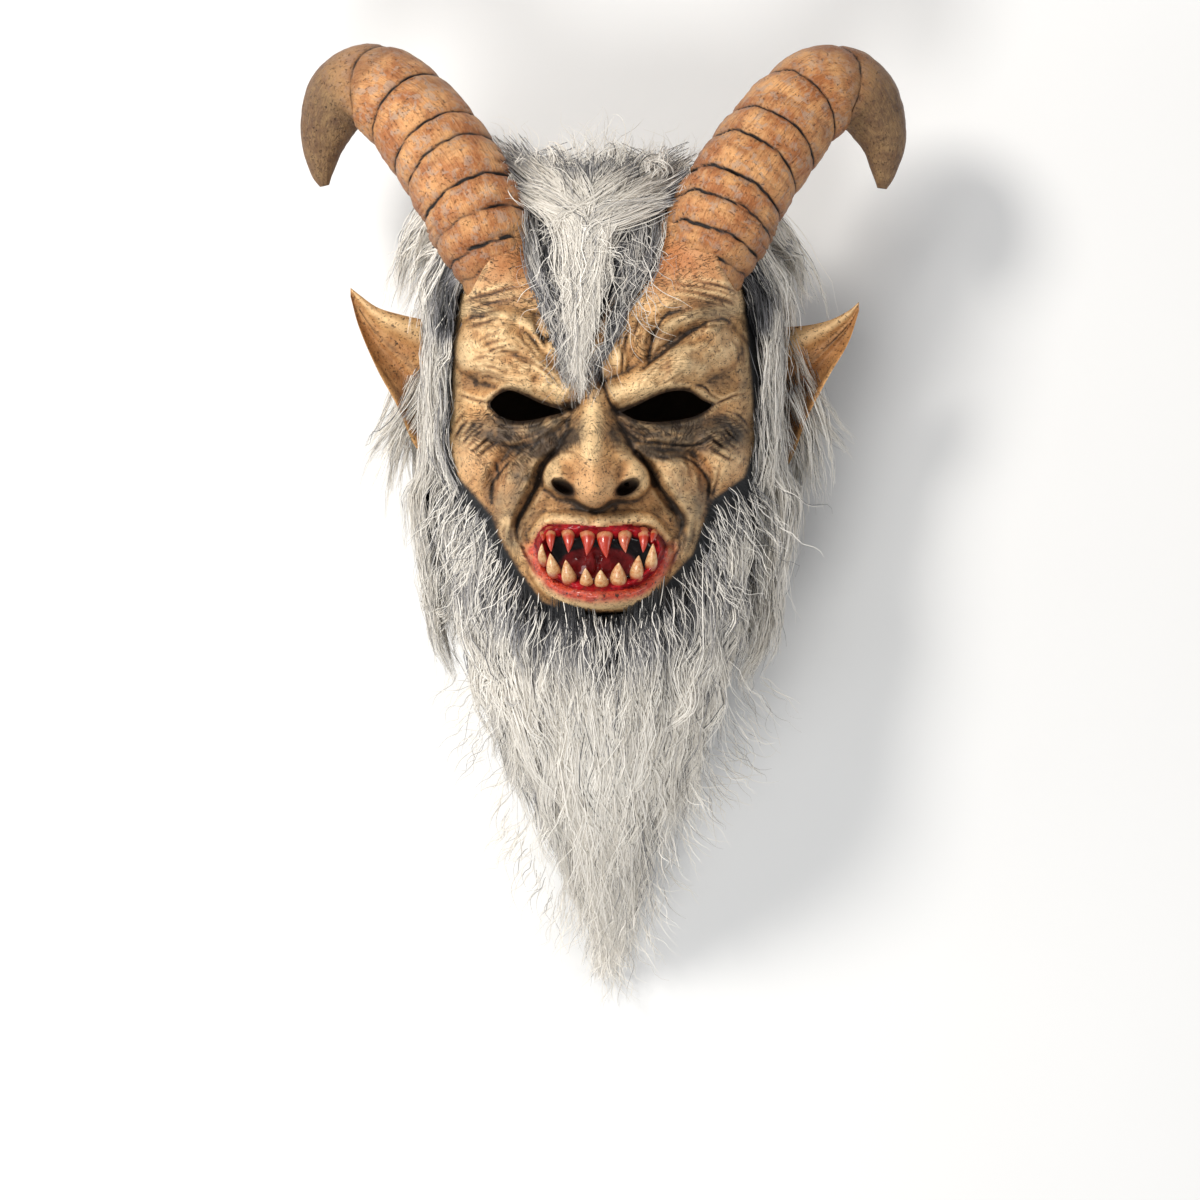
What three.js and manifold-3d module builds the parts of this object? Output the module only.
// A goat-horned carnival mask: a hollow latex head with horns, ears and teeth cast in one,
// and two pieces of long white fur glued to it, the hair and the beard.
// Millimetres. The mask lies on its back: +Z is the way the face looks, +Y is the top of the head,
// and the surface it lies on is z = 0, under the middle of the whole.
import * as THREE from "three";
import { mergeVertices } from "three/addons/utils/BufferGeometryUtils.js";
import Module from "manifold-3d";

const wasm = await Module();
wasm.setup();

// Driving sizes of the whole
const CROWN_Y = 190; // top of the latex skull
const RIM_Y = -75; // plane of the neck opening
const MIDLINE_X = -3; // the face's own middle stands a little off the horns' middle
const WALL = 3.5; // latex thickness
const GAP = 0.8; // clear space between the latex and the fur's backing
const BEHIND_FACE_Z = 120; // cutters start here, behind the face
const PAST_FACE_Z = 240; // and end here, past the nose
const BEARD_TIP_Y = -264.5;

// Head profiles, each a table of [y, value] read from crown to neck
const HALF_WIDTH = [
  [190, 6], [186, 26], [176, 46], [160, 64], [140, 76], [110, 87], [60, 92], [20, 90], [-15, 80],
  [-45, 68], [-75, 64],
];
const FRONT_Z = [
  [190, 104], [186, 122], [176, 138], [160, 153], [140, 165], [100, 175], [60, 172], [20, 172],
  [-20, 168], [-48, 162], [-54, 154], [-75, 150],
];
const BACK_Z = [
  [190, 96], [186, 72], [176, 50], [160, 32], [140, 18], [115, 12.5], [85, 12], [50, 14], [10, 23],
  [-30, 33], [-75, 37],
];
const WIDEST_Z = [[190, 100], [140, 96], [60, 92], [-20, 92], [-75, 93]];
const SQUARENESS = 2.5; // exponent of the rounded slices: 2 is an ellipse

// Value of a [y, value] table at y, smooth between its rows
function along(table, y) {
  const rows = table[0][0] > table[table.length - 1][0] ? [...table].reverse() : table;
  if (y <= rows[0][0]) return rows[0][1];
  if (y >= rows[rows.length - 1][0]) return rows[rows.length - 1][1];
  const i = rows.findIndex((row) => row[0] > y) - 1;
  const slope = (k) => {
    const a = rows[Math.max(k - 1, 0)];
    const b = rows[Math.min(k + 1, rows.length - 1)];
    return (b[1] - a[1]) / (b[0] - a[0]);
  };
  const [y0, v0] = rows[i];
  const [y1, v1] = rows[i + 1];
  const h = y1 - y0;
  const t = (y - y0) / h;
  const t2 = t * t;
  const t3 = t2 * t;
  return v0 * (2 * t3 - 3 * t2 + 1) + h * slope(i) * (t3 - 2 * t2 + t)
    + v1 * (3 * t2 - 2 * t3) + h * slope(i + 1) * (t3 - t2);
}

const clamp01 = (t) => Math.min(Math.max(t, 0), 1);
const smooth = (t) => clamp01(t) ** 2 * (3 - 2 * clamp01(t));
const mix = (a, b, t) => a + (b - a) * t;

// Distance from (x, y) to a line of points, and how far along it the nearest point is, 0 to 1
function nearest(line, x, y) {
  let best = Infinity;
  let at = 0;
  const steps = line.length - 1;
  for (let i = 0; i < steps; i++) {
    const [ax, ay] = line[i];
    const dx = line[i + 1][0] - ax;
    const dy = line[i + 1][1] - ay;
    const t = clamp01(((x - ax) * dx + (y - ay) * dy) / (dx * dx + dy * dy));
    const d = Math.hypot(x - ax - t * dx, y - ay - t * dy);
    if (d < best) {
      best = d;
      at = (i + t) / steps;
    }
  }
  return [best, at];
}

// A value given at equal steps along a line
function spread(values, t) {
  const f = t * (values.length - 1);
  const i = Math.min(Math.floor(f), values.length - 2);
  return mix(values[i], values[i + 1], f - i);
}

// Height of a roll of clay laid along a line; edge 2 dies away softly and 0.6 ends in a crease
function roll({ line, width, height, edge = 2 }, x, y) {
  const [d, t] = nearest(line, x, y);
  const q = d / spread(width, t);
  return q < 1 ? spread(height, t) * (1 - q * q) ** edge : 0;
}

// Height of an oval mound
function mound({ at, size, height, edge = 2 }, x, y) {
  const q2 = ((x - at[0]) / size[0]) ** 2 + ((y - at[1]) / size[1]) ** 2;
  return q2 < 1 ? height * (1 - q2) ** edge : 0;
}

// The big forms of the face, millimetres in front of the plain skull
const MOUNDS = [
  { at: [MIDLINE_X, -20], size: [50, 42], height: 20 }, // muzzle
  { at: [MIDLINE_X, -42], size: [32, 13], height: 9 }, // chin
  { at: [-70, 36], size: [19, 25], height: 11 }, // cheekbones
  { at: [68, 38], size: [19, 25], height: 11 },
  { at: [-57, 122], size: [38, 26], height: 13 }, // skin drawn up into the horns
  { at: [51, 122], size: [40, 26], height: 13 },
  { at: [-42, 62], size: [27, 12], height: -12 }, // eye sockets
  { at: [37, 62], size: [27, 12], height: -12 },
  { at: [-69, 76], size: [13, 10], height: -7 }, // hollows under the brows' outer ends
  { at: [66, 76], size: [13, 10], height: -7 },
];
const ROLLS = [
  {
    line: [[-20, 70], [-33, 75], [-47, 84], [-60, 93], [-69, 97]],
    width: [12, 14, 15, 16, 15],
    height: [12, 15, 17, 17, 13],
    edge: 1.2,
  },
  {
    line: [[7, 69], [20, 74], [34, 83], [48, 91], [62, 98]],
    width: [12, 13, 14, 15, 14],
    height: [13, 15, 17, 17, 14],
    edge: 1.2,
  },
  {
    line: [[-32, 40], [-43, 30], [-48, 20], [-52, 10], [-53, 0], [-50, -10], [-45, -20]],
    width: [10, 14, 15, 13, 11, 10, 8],
    height: [3, 7, 9, 9, 8, 6, 3],
  },
  {
    line: [[24, 37], [38, 30], [43, 20], [48, 10], [49, 0], [47, -10], [44, -20]],
    width: [10, 15, 16, 13, 10, 9, 8],
    height: [3, 7, 9, 9, 8, 6, 3],
  },
  { line: [[-62, 50], [-50, 46], [-38, 48], [-26, 54]], width: [8, 8, 8, 8], height: [3, 4, 4, 3] },
  { line: [[20, 53], [34, 47], [48, 45], [62, 49]], width: [8, 8, 8, 8], height: [3, 4, 4, 3] },
  {
    line: [
      [-38, -15], [-35, -29], [-27, -39], [-15, -44], [-3, -46], [11, -45], [22, -40], [31, -30],
      [36, -16],
    ],
    width: [7, 8, 8, 8, 8, 8, 8, 8, 7],
    height: [4, 7, 8, 8, 8, 8, 8, 7, 4],
    edge: 1.2,
  },
  {
    line: [[-37, -9], [-30, 0], [-18, 1.5], [-4, -0.5], [8, 0], [20, 1], [29, -1], [35, -11]],
    width: [7, 7, 7, 7, 7, 7, 7, 7],
    height: [4, 4, 4, 4, 4, 4, 4, 4],
    edge: 1.2,
  },
];
// The nose in slices [y, left edge, right edge, height of the wings, further height of the ridge]
const NOSE_SLICES = [
  [77, -8, 2, 0, 0], [66, -14, 7, 4, 6], [55, -19, 9, 8, 10], [45, -23, 14, 12, 13],
  [36, -28, 20, 16, 15], [27, -34, 27, 19, 17], [20, -34.5, 27.5, 20, 18], [14, -29, 23, 18, 18],
  [9, -17, 8, 14, 15], [4, -10, 0, 0, 0],
];
const RIDGE_X = -5;
const RIDGE_HALF = 10.5;
const NOSE_BURIES = 14; // height of the nose at which the rolls and creases under it are gone
const CREASES = [
  {
    line: [[-26, 36], [-33, 29], [-37, 19], [-42, 10], [-47, 0], [-48, -9]],
    width: [7, 8, 8, 8, 8, 7],
    height: [-5, -7, -7, -6, -5, -2],
  },
  {
    line: [[17, 35], [25, 29], [31, 19], [38, 9], [44, 0], [43, -10]],
    width: [7, 8, 8, 8, 8, 7],
    height: [-5, -7, -7, -6, -5, -2],
  },
  { line: [[-42, 41], [-53, 34], [-60, 23], [-62, 13]], width: [7, 8, 9, 8], height: [-2, -3, -4, -3] },
  { line: [[32, 38], [44, 36], [54, 30], [59, 17]], width: [7, 8, 9, 8], height: [-2, -3, -4, -3] },
  { line: [[-3, 80], [1, 71], [6, 62]], width: [7, 7, 7], height: [-5, -7, -6] },
  { line: [[-9, 80], [-14, 70], [-19, 63]], width: [7, 7, 7], height: [-4, -6, -6] },
  { line: [[22, 84], [34, 93], [45, 101], [56, 108]], width: [7, 8, 8, 7], height: [-2, -4, -4, -2] },
  { line: [[25, 96], [28, 105], [36, 114], [48, 119]], width: [8, 9, 9, 8], height: [-4, -5, -5, -3] },
];

// Outline of the bare face, where the fur begins
const FACE_OUTLINE = [
  [-79, 132], [-83, 105], [-84, 60], [-86, 45], [-82, 26], [-68, 12], [-61, 2], [-55, -14], [-44, -30],
  [-31, -45], [-15, -52], [MIDLINE_X, -53], [12, -52], [29, -44], [37, -32], [48, -21], [56, 0],
  [60, 11], [78, 24], [84, 42], [83, 62], [81, 95], [79, 132],
];

// Height of the nose: a ridge that fades to each side into full wings with round edges
function noseHeight(x, y) {
  const [left, right, wings, ridge] = [1, 2, 3, 4].map((k) => along(NOSE_SLICES.map((r) => [r[0], r[k]]), y));
  const across = (2 * x - left - right) / (right - left);
  if (Math.abs(across) >= 1 || y > NOSE_SLICES[0][0]) return 0;
  const crest = ridge * Math.exp(-(((x - RIDGE_X) / RIDGE_HALF) ** 2));
  return Math.max(wings + crest, 0) * (1 - across ** 4) ** 0.6;
}

// How far the relief stands in front of the plain skull at (x, y); the nose buries what runs under it
function relief(x, y) {
  const nose = noseHeight(x, y);
  const bare = 1 - smooth(nose / NOSE_BURIES);
  let h = nose;
  for (const m of MOUNDS) h += mound(m, x, y);
  for (const line of [...ROLLS, ...CREASES]) h += roll(line, x, y) * bare;
  return h;
}

// Front of the plain skull at (x, y), in a slice of half width a
const skullFront = (x, y, a) => {
  const u = Math.min(Math.abs(x) / a, 1);
  const widest = along(WIDEST_Z, y);
  return widest + (along(FRONT_Z, y) - widest) * (1 - u ** SQUARENESS) ** (1 / SQUARENESS);
};

// The highest that a height reaches within reach of (x, y)
function highest(height, x, y, reach) {
  const steps = reach > 0 ? [-reach, 0, reach] : [0];
  return Math.max(...steps.flatMap((dx) => steps.map((dy) => height(x + dx, y + dy))));
}

// A closed surface through rings of points, each ring with the same count, closed at both ends.
// Each quad is split along its shorter diagonal, which keeps ridges and creases clean.
function loft(rings) {
  const n = rings[0].length;
  const position = [];
  const index = [];
  const centre = (ring) => ring.reduce((s, p) => s.map((v, k) => v + p[k] / n), [0, 0, 0]);
  rings.forEach((ring) => ring.forEach((p) => position.push(...p)));
  const first = position.length / 3;
  position.push(...centre(rings[0]), ...centre(rings[rings.length - 1]));
  const point = (k) => new THREE.Vector3().fromArray(position, 3 * k);
  const quad = (a, b, c, d) => {
    if (point(a).distanceTo(point(c)) < point(b).distanceTo(point(d))) index.push(a, b, c, a, c, d);
    else index.push(a, b, d, b, c, d);
  };
  for (let r = 0; r + 1 < rings.length; r++)
    for (let i = 0; i < n; i++) {
      const j = (i + 1) % n;
      quad(r * n + i, r * n + j, (r + 1) * n + j, (r + 1) * n + i);
    }
  for (let i = 0; i < n; i++) {
    const j = (i + 1) % n;
    index.push(first, j, i);
    index.push(first + 1, (rings.length - 1) * n + i, (rings.length - 1) * n + j);
  }
  const geometry = new THREE.BufferGeometry();
  geometry.setAttribute("position", new THREE.Float32BufferAttribute(position, 3));
  geometry.setIndex(index);
  return geometry;
}

// A three.js geometry as a solid, turned the right way out
function solid(geometry) {
  const plain = geometry.clone();
  for (const name of Object.keys(plain.attributes)) if (name !== "position") plain.deleteAttribute(name);
  const merged = mergeVertices(plain, 1e-3);
  const triVerts = new Uint32Array(merged.index.array);
  const vertProperties = merged.attributes.position.array;
  const make = () => new wasm.Manifold(new wasm.Mesh({ numProp: 3, vertProperties, triVerts }));
  const made = make();
  if (made.volume() > 0) return made;
  for (let i = 0; i < triVerts.length; i += 3) {
    [triVerts[i + 1], triVerts[i + 2]] = [triVerts[i + 2], triVerts[i + 1]];
  }
  return make();
}

const joined = (solids) => solids.reduce((a, b) => a.add(b));
const biggest = (made) => made.decompose().reduce((a, b) => (b.volume() > a.volume() ? b : a));

// A flat outline pulled along Z from z0 to z1
function prism(points, z0, z1) {
  const shape = new THREE.Shape(points.map(([x, y]) => new THREE.Vector2(x, y)));
  const geometry = new THREE.ExtrudeGeometry(shape, { depth: z1 - z0, bevelEnabled: false });
  return solid(geometry.translate(0, 0, z0));
}

// An oval ball
const BALL_SIDES = 8;
function ball([x, y, z], [rx, ry, rz], turn = 0) {
  const geometry = new THREE.SphereGeometry(1, BALL_SIDES, BALL_SIDES / 2);
  return solid(geometry.scale(rx, ry, rz).rotateZ(turn).translate(x, y, z));
}

const stops = (from, to, count) => Array.from({ length: count }, (_, i) => mix(from, to, i / (count - 1)));

// Latex skull with its face, as slices across Y; grow makes it that much bigger all over.
// Columns and rows stand closest over the features. Every third of them, at the highest latex within
// reach, makes a coarse copy that stands clear of the fine one.
const FACE_COLUMNS = 25;
const FACE_ROWS = 26;
const BACK_COLUMNS = 5;
const JAW_Y = -47; // the close rows run from here
const BROW_Y = 98; // to here
const JAW_ROWS = [-60, -52];
const DOME_ROWS = [109, 122, 138, 155, 170, 182];
const SIDE_COLUMN = 0.985; // the outermost column of the face, as a share of the half width
const RELIEF_FADES = 6; // the relief dies away over a sixth of the half width at each side
const crowded = (s) => 0.955 * (0.72 * s + 0.28 * s ** 3);
function skull(grow, every = 1, reach = 0) {
  const thinned = (list) => list.filter((_, i) => i % every === 0 || i === list.length - 1);
  const close = thinned(stops(JAW_Y, BROW_Y, FACE_ROWS));
  const rows = [RIM_Y - grow, ...JAW_ROWS, ...close, ...DOME_ROWS, CROWN_Y + grow];
  const across = thinned([-SIDE_COLUMN, ...stops(-1, 1, FACE_COLUMNS).map(crowded), SIDE_COLUMN]);
  return loft(rows.map((y) => {
    const a = along(HALF_WIDTH, y) + grow;
    const widest = along(WIDEST_Z, y);
    const depth = widest - along(BACK_Z, y) + grow;
    const inward = (x) => smooth((1 - Math.abs(x / a)) * RELIEF_FADES);
    const front = (x, row) => skullFront(x, row, a) + relief(x, row) * inward(x);
    const ring = across.map((u) => [a * u, y, highest(front, a * u, y, reach) + grow]);
    for (const angle of stops(0, Math.PI, BACK_COLUMNS + 2))
      ring.push([a * Math.cos(angle), y, widest - depth * Math.sin(angle) ** (2 / SQUARENESS)]);
    return ring;
  }));
}

// The hollow: the same slices drawn in by the wall, over forms with their hollows filled in.
// It stays below the mouth's floor all round the mouth.
const INNER_REACH = 6;
const MOUTH_MIDDLE_Y = -21;
const MOUTH_ROOM = [44, 30]; // half width and half height of that low stretch
const INNER_ROWS = 10;
const INNER_COLUMNS = 9;
function hollow() {
  const inside = (x, y, a) => {
    const depth = (px, py) => -skullFront(px, py, a + WALL) - relief(px, py);
    const z = -highest(depth, x, y, INNER_REACH);
    const fromMouth = Math.hypot((x - MIDLINE_X) / MOUTH_ROOM[0], (y - MOUTH_MIDDLE_Y) / MOUTH_ROOM[1]);
    return Math.min(z - WALL, fromMouth < 1 ? MOUTH_FLOOR_Z - WALL : Infinity);
  };
  const rows = [RIM_Y - 5, ...stops(-54, 120, INNER_ROWS), 150, 175, CROWN_Y - WALL];
  const across = [-0.97, ...stops(-0.86, 0.86, INNER_COLUMNS), 0.97];
  return loft(rows.map((y) => {
    const a = Math.max(along(HALF_WIDTH, y) - WALL, 3);
    const widest = along(WIDEST_Z, y);
    const depth = Math.max(widest - along(BACK_Z, y) - WALL, 2);
    const ring = across.map((u) => {
      const x = a * u;
      return [x, y, Math.max(inside(x, y, a), widest + 1)];
    });
    for (const angle of stops(0, Math.PI, 6))
      ring.push([a * Math.cos(angle), y, widest - depth * Math.sin(angle) ** (2 / SQUARENESS)]);
    return ring;
  }));
}

// Horns: stations of [x, y, z, radius] for the left one, from inside the brow to the tip
const HORN_LEFT = [
  [-54, 106, 132, 21], [-58, 130, 146, 26.5], [-64, 152, 147, 29], [-73.5, 176, 142, 28.5],
  [-83.5, 194, 136, 28.5], [-94, 209, 129, 28], [-108.5, 227.5, 120, 26.5], [-128, 241, 110, 25],
  [-146, 236, 103, 20.5], [-155.5, 215, 100, 14], [-157, 196, 99, 7.5], [-155.5, 187, 99, 3.2],
];
const HORN_RIGHT = [
  [50, 106, 132, 21], [54, 130, 146, 28.5], [60, 152, 147, 31], [71, 176, 142, 29.5],
  [82.5, 195, 136, 28.5], [94, 210, 129, 28], [108, 228, 120, 26.5], [127, 240.8, 110, 25],
  [145.2, 235, 103, 20.5], [156, 214, 100, 14], [157, 195, 99, 7.5], [156, 185.5, 99, 3.2],
];
// Where the rings are cut, as shares of the way along, and how deep
const HORN_RINGS = [0.16, 0.22, 0.28, 0.34, 0.4, 0.465, 0.53, 0.605];
const RING_DEPTH = 1.6;
const RING_LIP = 0.02; // share of the way over which the horn falls into a ring
const HORN_PLAIN = [0, 0.08, 0.66, 0.71, 0.76, 0.82, 0.88, 0.94, 1]; // sections between and past the rings
const HORN_SIDES = 10;

function horn(stations, grow = 0) {
  const path = new THREE.CatmullRomCurve3(stations.map(([x, y, z]) => new THREE.Vector3(x, y, z)));
  const radius = (t) => spread(stations.map((s) => s[3]), t) + grow;
  const cuts = HORN_RINGS.flatMap((t) => [t - RING_LIP, t]);
  const shares = [...cuts, ...HORN_PLAIN].sort((a, b) => a - b);
  const rings = shares.map((t) => {
    const centre = path.getPoint(t);
    const ahead = path.getTangent(t);
    const side = new THREE.Vector3().crossVectors(ahead, new THREE.Vector3(0, 0, 1)).normalize();
    const front = new THREE.Vector3().crossVectors(side, ahead);
    const cut = HORN_RINGS.some((c) => Math.abs(c - t) < 1e-6) ? RING_DEPTH : 0;
    return stops(0, 2 * Math.PI, HORN_SIDES + 1).slice(1).map((angle) => {
      const r = radius(t) - cut;
      const p = centre.clone().addScaledVector(side, r * Math.cos(angle));
      return p.addScaledVector(front, r * Math.sin(angle)).toArray();
    });
  });
  return solid(loft(rings));
}

// Ears: lower and upper edge points from the head out to the tip, for the left one
const EAR_LEFT = {
  low: [[-84, 22], [-104, 40], [-115, 64], [-126, 84], [-136, 107], [-141, 125]],
  high: [[-80, 108], [-99, 112], [-113, 115], [-126, 119], [-136, 126], [-141, 130]],
};
const EAR_RIGHT = {
  low: [[84, 14], [103, 30], [114, 57], [126, 80], [137, 99], [143, 117]],
  high: [[80, 106], [99, 108], [114, 109], [127, 112], [137, 117], [143, 122]],
};
const EAR_Z = [92, 95, 99, 101, 102, 103];
const EAR_HOLLOW = [4, 10, 11, 8, 3.5, 1];
const EAR_THICK = [9, 6, 5, 4.5, 4, 3.5];
const EAR_SECTION = [0, 0.15, 0.4, 0.62, 0.8, 1]; // from the thin outer rim to the rolled upper rim
const EAR_DIP = [0, 0.7, 1, 0.3, -0.35, 0.2];

function ear({ low, high }, grow = 0) {
  const rings = low.map((from, k) => {
    const to = high[k];
    const past = grow / Math.hypot(to[0] - from[0], to[1] - from[1]);
    const line = (side) => EAR_SECTION.map((s, i) => {
      const share = s + past * Math.sign(s - 0.5) * (s % 1 === 0);
      const thick = EAR_THICK[k] * (0.6 + 1.6 * s * (1 - s));
      const z = EAR_Z[k] - EAR_HOLLOW[k] * EAR_DIP[i] + (side === "front" ? grow : -thick - grow);
      return [mix(from[0], to[0], share), mix(from[1], to[1], share), z];
    });
    return [...line("front"), ...line("back").reverse()];
  });
  return solid(loft(rings));
}

// Mouth: the opening's outline, its floor, the tongue and the two rows of fangs
const MOUTH_FLOOR_Z = 172;
const MOUTH = [
  [-37, -11], [-31, -4.5], [-20, -3], [-4, -5], [8, -4], [19, -3.5], [28, -6], [34, -14], [32, -21],
  [26, -29], [17, -35.5], [6, -39], [-6, -39.5], [-18, -37], [-27, -32], [-33, -24],
];
const LEFT_EYE = [
  [-63, 64], [-57, 70], [-50, 71.5], [-42, 68], [-34, 63.5], [-23, 60], [-30, 57], [-40, 54.5],
  [-49, 54.5], [-57, 57.5],
];
const RIGHT_EYE = [
  [13, 59.5], [21, 63.5], [30, 68], [40, 71.5], [48, 70.5], [55, 66], [59, 62.5], [51, 57], [41, 54.5],
  [30, 54.5], [20, 56.5],
];
// Each fang is [root x, root y, tip x, tip y, width]
const UPPER_FANGS = [
  [-29, -6, -28, -18, 5.5], [-20, -6, -19, -18.5, 6], [-9.5, -6, -9, -20.5, 7], [1.5, -6, 2, -21, 7.5],
  [13, -6, 12.5, -18.5, 6.5], [22, -6, 21.5, -18, 5.5], [27.5, -7, 26.5, -13, 3.5],
];
const LOWER_FANGS = [
  [-31.5, -25, -33, -13.5, 5], [-26, -32, -29, -19, 7], [-18, -35, -21, -22.5, 7.5],
  [-8.5, -37.5, -10, -27.5, 7], [0.5, -37.5, -2, -28, 7.5], [9.5, -36, 8.5, -23.5, 8],
  [19, -33, 20, -20, 7], [27, -27, 28, -13.5, 6],
];
const FANG_PROFILE = [[0, 0], [0.5, 0.2], [0.32, 0.7], [0, 1]];
const FANG_SIDES = 5;

// One fang, a curved cone whose root is sunk in the gum
function fang([rootX, rootY, tipX, tipY, width], rootZ, tipZ) {
  const length = Math.hypot(tipX - rootX, tipY - rootY, tipZ - rootZ);
  const profile = FANG_PROFILE.map(([r, s]) => new THREE.Vector2(r * width, s * length));
  const geometry = new THREE.LatheGeometry(profile, FANG_SIDES);
  const way = new THREE.Vector3(tipX - rootX, tipY - rootY, tipZ - rootZ).normalize();
  geometry.applyQuaternion(new THREE.Quaternion().setFromUnitVectors(new THREE.Vector3(0, 1, 0), way));
  return solid(geometry.translate(rootX, rootY, rootZ));
}

// A gum: a round bar bent along the row of roots
function gum(points, z) {
  const round = new THREE.Shape().absarc(0, 0, GUM_THICK, 0, 2 * Math.PI);
  const extrudePath = new THREE.CatmullRomCurve3(points.map(([x, y]) => new THREE.Vector3(x, y, z)));
  const options = { extrudePath, steps: 6, curveSegments: 3, bevelEnabled: false };
  return solid(new THREE.ExtrudeGeometry(round, options));
}

const GUM_Z = 180;
const GUM_THICK = 5;
const UPPER_GUM = [
  [-36, -12], [-30, -5.5], [-20, -4], [-4, -4.5], [10, -4], [22, -4.5], [30, -8], [34, -14],
];
const LOWER_GUM = [
  [-37, -14], [-32, -27], [-24, -35], [-12, -39], [0, -40], [12, -38.5], [22, -34], [29, -27],
  [34, -15],
];
const TONGUE = [22, 9, 7];
const mouthParts = () => [
  ...UPPER_FANGS.map((f) => fang(f, GUM_Z - 2, GUM_Z + 6)),
  ...LOWER_FANGS.map((f) => fang(f, GUM_Z - 2, GUM_Z + 7)),
  gum(UPPER_GUM, GUM_Z - 2),
  gum(LOWER_GUM, GUM_Z - 4),
  ball([MIDLINE_X, -25, MOUTH_FLOOR_Z - 1], TONGUE),
];

// The latex cast
const leftHorn = horn(HORN_LEFT);
const rightHorn = horn(HORN_RIGHT);
const NOSTRILS = [[[-22, 17.5, 190], -0.55], [[13.5, 17.5, 190], 0.55]]; // middle, turn in radians
const NOSTRIL_SIZE = [7.5, 4, 17];
const castBody = joined([solid(skull(0)), leftHorn, rightHorn, ear(EAR_LEFT), ear(EAR_RIGHT)]);
const cutters = [
  solid(hollow()),
  prism(LEFT_EYE, BEHIND_FACE_Z, PAST_FACE_Z),
  prism(RIGHT_EYE, BEHIND_FACE_Z, PAST_FACE_Z),
  prism(MOUTH, MOUTH_FLOOR_Z, PAST_FACE_Z),
  ...NOSTRILS.map(([at, turn]) => ball(at, NOSTRIL_SIZE, turn)),
];
const cast = joined([castBody.subtract(joined(cutters)), ...mouthParts()]);

// Room that the fur leaves round the latex, from a coarser skull, and the wearer's way in at the neck
const COARSE_REACH = 5;
const trims = [horn(HORN_LEFT, GAP), horn(HORN_RIGHT, GAP), ear(EAR_LEFT, GAP), ear(EAR_RIGHT, GAP)];
const latexRoom = joined([solid(skull(2 * GAP, 3, COARSE_REACH)), ...trims]);
const faceRoom = prism(FACE_OUTLINE, BEHIND_FACE_Z, PAST_FACE_Z);
const underFloor = solid(new THREE.BoxGeometry(600, 700, 60).translate(0, 0, -30));

const NECK_WAY_Y = -300; // well past the hair's ends
const NECK_SIDES = 20;
function neckWay() {
  const a = along(HALF_WIDTH, RIM_Y);
  const middle = along(WIDEST_Z, RIM_Y);
  const front = along(FRONT_Z, RIM_Y) - middle;
  const back = middle - along(BACK_Z, RIM_Y);
  const angles = stops(0, 2 * Math.PI, NECK_SIDES + 1).slice(1);
  return loft([NECK_WAY_Y, RIM_Y + 2].map((y) => angles.map((angle) => {
    const s = Math.sin(angle);
    return [a * Math.cos(angle), y, middle + (s > 0 ? front : back) * s];
  })));
}

// Hair: a coat round the skull, thickest at the sides, combed into locks that run down it
const HAIR_OUT = [
  [203, 8], [198, 34], [188, 56], [172, 76], [150, 94], [125, 108], [95, 111], [60, 112], [25, 113],
  [-10, 108], [-40, 102], [-70, 96], [-88, 84],
];
const HAIR_FRONT = [
  [203, 112], [198, 132], [188, 148], [172, 160], [150, 170], [120, 168], [60, 160], [0, 148],
  [-40, 134], [-70, 118], [-88, 104],
];
const HAIR_BACK = [
  [203, 92], [198, 60], [188, 36], [172, 14], [150, 0], [120, -8], [60, -8], [20, -2], [-20, 8],
  [-60, 14], [-88, 22],
];
const LOCK_DEPTH = 4;
const HAIR_LOCKS = 10;
const LOCK_POINTS = 4; // outline points for each lock
const HEM_RAGGED = 7; // how far the locks' ends stand above and below the hem

const HEM_Y = -88;
const HAIR_TOP_Y = 203;
const HAIR_ROUNDNESS = 0.85; // 1 is an ellipse, less is squarer
const HAIR_FORWARD = 4; // the coat's widest stands this much in front of the skull's
const COMBED_OUT = 40; // the locks fade out this near the top
function hair(grow = 0) {
  const rows = [HEM_Y - 3 * grow, ...stops(-76, 174, 9), 191, HAIR_TOP_Y];
  return loft(rows.map((y) => {
    const a = along(HAIR_OUT, y) + grow;
    const widest = along(WIDEST_Z, y) + HAIR_FORWARD;
    const front = along(HAIR_FRONT, y) - widest + grow;
    const back = widest - along(HAIR_BACK, y) + grow;
    return stops(0, 2 * Math.PI, HAIR_LOCKS * LOCK_POINTS + 1).slice(1).map((angle) => {
      const wave = Math.sin(HAIR_LOCKS * angle + 0.9 * Math.sin(y / 40));
      const lock = LOCK_DEPTH * wave * smooth((HAIR_TOP_Y - y) / COMBED_OUT);
      const hem = HEM_RAGGED * wave * smooth((-y - 60) / 20);
      const c = Math.cos(angle);
      const s = Math.sin(angle);
      const depth = s > 0 ? front + lock : back;
      return [(a + lock) * c, y - hem, widest + depth * Math.sign(s) * Math.abs(s) ** HAIR_ROUNDNESS];
    });
  }));
}

// A tongue of hair laid on the brow, between the horns: rows of [y, middle x, half width, thickness]
const FORELOCK = [
  [186, -4, 30, 12], [165, -5, 28, 12], [140, -8, 23, 11], [118, -10, 17, 10], [100, -11, 12, 9],
  [84, -11, 8, 7], [72, -13, 5, 6], [62, -15, 2.5, 4],
];
const FORELOCK_SIDES = 10;
const FORELOCK_LOCKS = 0.25; // depth of its locks, as a share of its thickness

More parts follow.
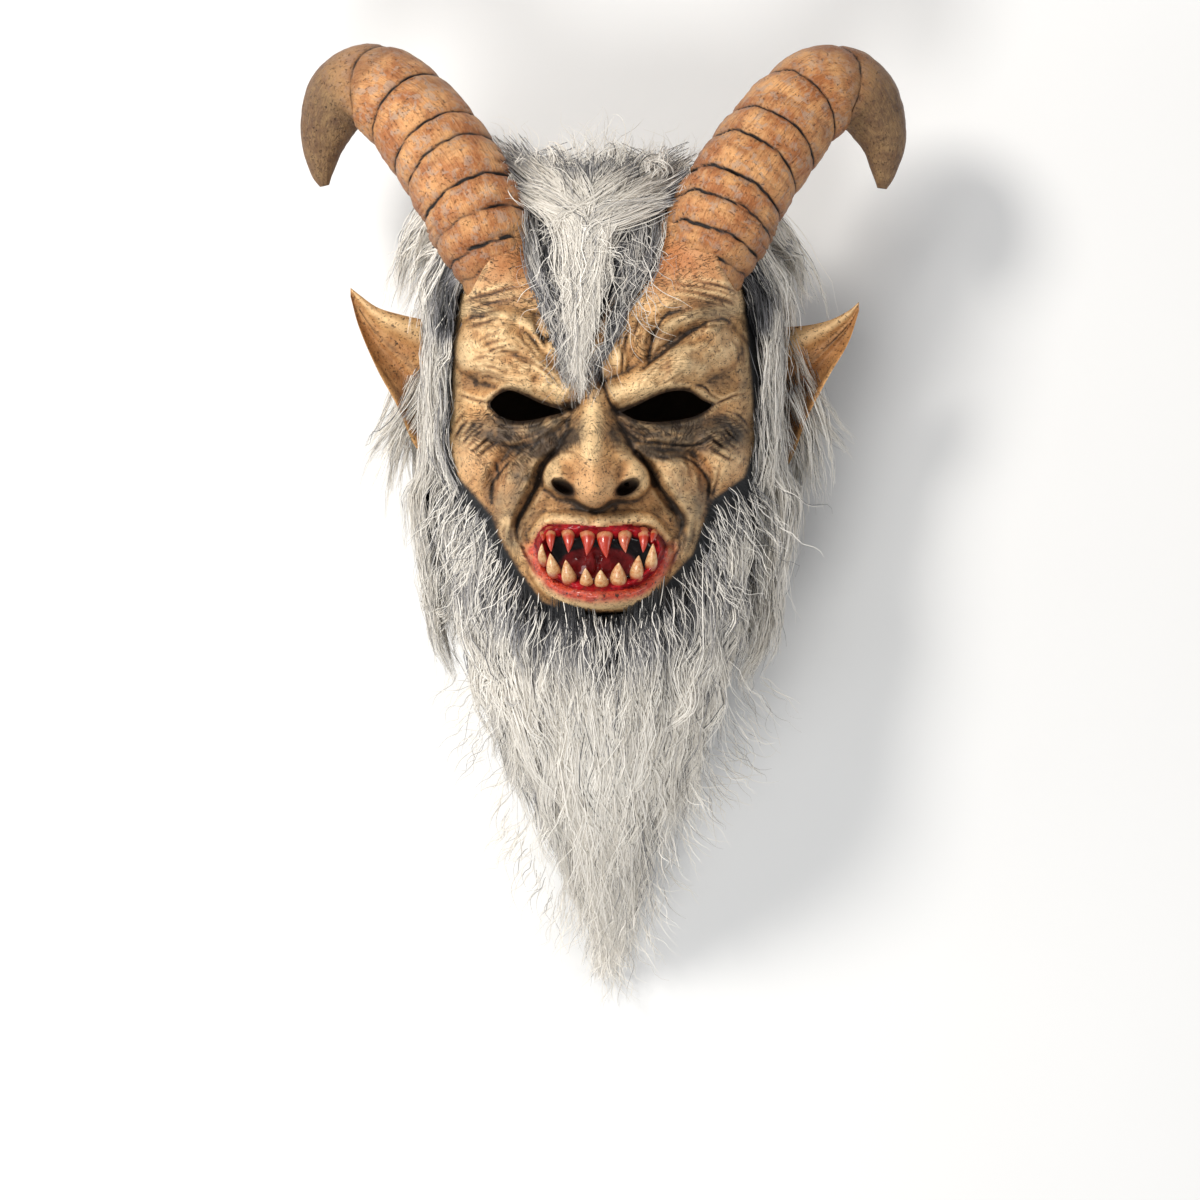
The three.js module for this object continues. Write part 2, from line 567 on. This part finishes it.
function forelock() {
  const latex = (x, y) => skullFront(x, y, along(HALF_WIDTH, y)) + relief(x, y);
  const angles = stops(0, 2 * Math.PI, FORELOCK_SIDES + 1).slice(1);
  return loft(FORELOCK.map(([y, middle, half, thick]) => angles.map((angle) => {
    const x = middle + half * Math.cos(angle);
    const rise = Math.max(Math.sin(angle), 0) * (1 + FORELOCK_LOCKS * Math.cos(6 * angle));
    return [x, y, highest(latex, x, y, COARSE_REACH) + 2 * GAP + thick * rise];
  })));
}

// Beard: rows of [y, half width, middle x, top z, under z]; its edges fall lower than its middle
const BEARD = [
  [30, 99, 0, 150, 60], [5, 100, -1, 161, 66], [-22, 98, -2, 172, 75], [-48, 95, -1, 178, 88],
  [-75, 89, 0, 172, 98], [-105, 80, 0, 156, 91], [-135, 69, 1, 131, 73], [-165, 60, 1, 104, 53],
  [-195, 49, 1, 72, 31], [-220, 33, 2, 45, 15], [-243, 16, 3, 22, 5], [BEARD_TIP_Y, 2.5, 5, 7, 1],
];
const BEARD_DROOP = 34;
const BEARD_LOCKS = 6; // ridges across its front
const BEARD_LOCK_DEPTH = 0.16; // share of the beard's thickness
const BEARD_ROUNDNESS = 0.8;
const BEARD_LIES_AT = 0.4; // how near its tip comes to the surface
const BEARD_FRONT_POINTS = 25;
const BEARD_BACK_POINTS = 7;

function beard() {
  const widest = BEARD[0][1];
  const behind = stops(Math.PI, 2 * Math.PI, BEARD_BACK_POINTS).slice(1, -1);
  const angles = [...stops(0, Math.PI, BEARD_FRONT_POINTS), ...behind];
  return loft(BEARD.map(([y, half, middle, top, under], row) => angles.map((angle) => {
    const u = Math.cos(angle);
    const s = Math.sin(angle);
    const thick = (top - under) / 2;
    const uneven = (-1) ** row; // every other row stands out
    const lock = BEARD_LOCK_DEPTH * thick * Math.cos(2 * BEARD_LOCKS * angle) * (1 + 0.4 * uneven);
    const droop = BEARD_DROOP * u * u * smooth(half / widest) * smooth(-y / 60 + 0.3);
    const depth = s > 0 ? thick + lock : thick;
    const z = (top + under) / 2 - droop + depth * Math.sign(s) * Math.abs(s) ** BEARD_ROUNDNESS;
    return [middle + half * u * (1 + 0.025 * uneven), y, Math.max(z, BEARD_LIES_AT)];
  })));
}

const coat = solid(hair());
const hairOff = joined([latexRoom, faceRoom, solid(neckWay()), underFloor]);
const hairPiece = biggest(coat.subtract(hairOff)).add(solid(forelock()).subtract(joined(trims)));

const FUR_SEAM_Y = 28; // the beard is glued on below this height
const aboveSeam = solid(new THREE.BoxGeometry(400, 100, 300).translate(0, FUR_SEAM_Y + 50, 150));
const beardOff = joined([latexRoom, faceRoom, solid(hair(3 * GAP)), aboveSeam]);
const beardPiece = biggest(solid(beard()).subtract(beardOff));

function mesh(name, made, color, roughness) {
  const data = made.getMesh();
  const geometry = new THREE.BufferGeometry();
  geometry.setAttribute("position", new THREE.BufferAttribute(data.vertProperties, 3));
  geometry.setIndex(new THREE.BufferAttribute(data.triVerts, 1));
  geometry.computeVertexNormals();
  const material = new THREE.MeshStandardMaterial({ color, roughness, metalness: 0 });
  const piece = new THREE.Mesh(geometry, material);
  piece.name = name;
  return piece;
}

const mask = new THREE.Group();
mask.add(mesh("latex_mask", cast, 0xc79a62, 0.55));
mask.add(mesh("hair", hairPiece, 0xc9c6c0, 0.9));
mask.add(mesh("beard", beardPiece, 0xd2cfc8, 0.9));
export default mask;
